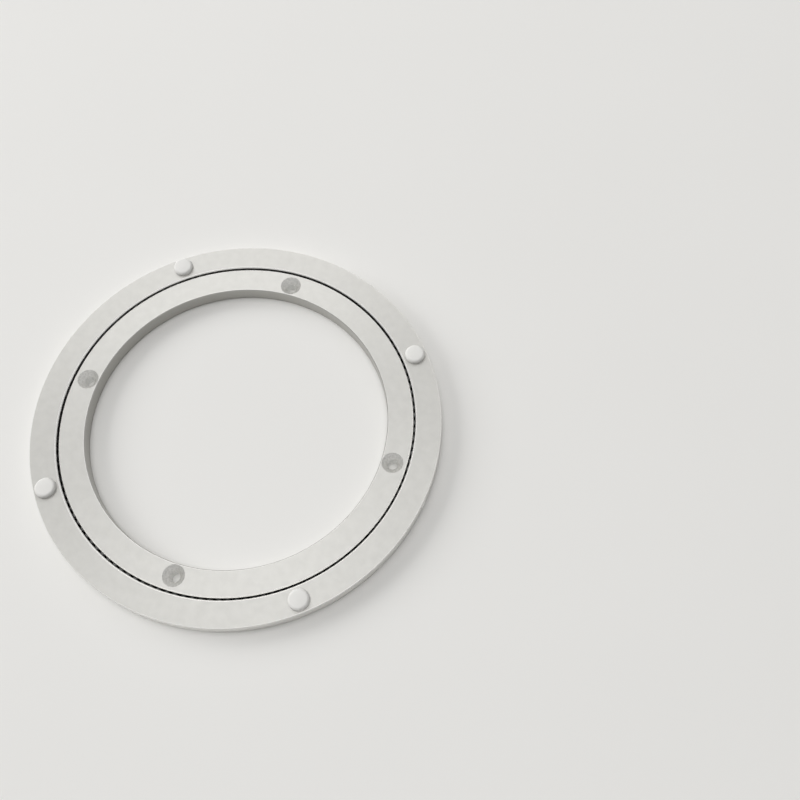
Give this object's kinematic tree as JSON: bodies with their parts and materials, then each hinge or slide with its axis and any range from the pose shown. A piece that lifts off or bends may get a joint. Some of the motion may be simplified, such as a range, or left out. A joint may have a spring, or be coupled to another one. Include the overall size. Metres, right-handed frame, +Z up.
{
  "type": "lazy susan bearing",
  "caption": "Flat aluminium ring that turns round a fixed inner ring on a row of steel balls. The inner ring has countersunk screw holes, the outer ring round tray pads.",
  "frame": {"origin": "on the axis of rotation, in the plane of the inner ring's underside", "axes": "+Z up along the axis of rotation, towards the tray; +X through the middle of one screw hole"},
  "size_m": [0.2, 0.2, 0.0108],
  "materials": {
    "ring_aluminium": "fine matt blasted and clear anodised, with bright bevels",
    "plug_aluminium": "turned, clear anodised",
    "pad_rubber": "moulded off-white rubber, matt",
    "ball_steel": "polished bearing steel"
  },
  "bodies": {
    "base": {"inner_ring": "ring_aluminium"},
    "turntable": {"outer_ring": "ring_aluminium", "filling_plug": "plug_aluminium", "pad_1": "pad_rubber", "pad_2": "pad_rubber", "pad_3": "pad_rubber", "pad_4": "pad_rubber"},
    "ball_row": {"ball_set_01": "ball_steel", "ball_set_02": "ball_steel", "ball_set_03": "ball_steel", "ball_set_04": "ball_steel", "ball_set_05": "ball_steel", "ball_set_06": "ball_steel", "ball_set_07": "ball_steel", "ball_set_08": "ball_steel", "ball_set_09": "ball_steel", "ball_set_10": "ball_steel", "ball_set_11": "ball_steel", "ball_set_12": "ball_steel", "ball_set_13": "ball_steel", "ball_set_14": "ball_steel", "ball_set_15": "ball_steel"}
  },
  "joints": [
    {"name": "turntable_spin", "type": "hinge", "parent": "base", "child": "turntable", "pos_m": [0, 0, 0.00415], "axis": [0, 0, 1], "continuous": true},
    {"name": "ball_row_spin", "type": "hinge", "parent": "base", "child": "ball_row", "pos_m": [0, 0, 0.00415], "axis": [0, 0, 1], "continuous": true}
  ],
  "couplings": [
    {"joint": "ball_row_spin", "follows": "turntable_spin", "ratio": 0.508}
  ]
}
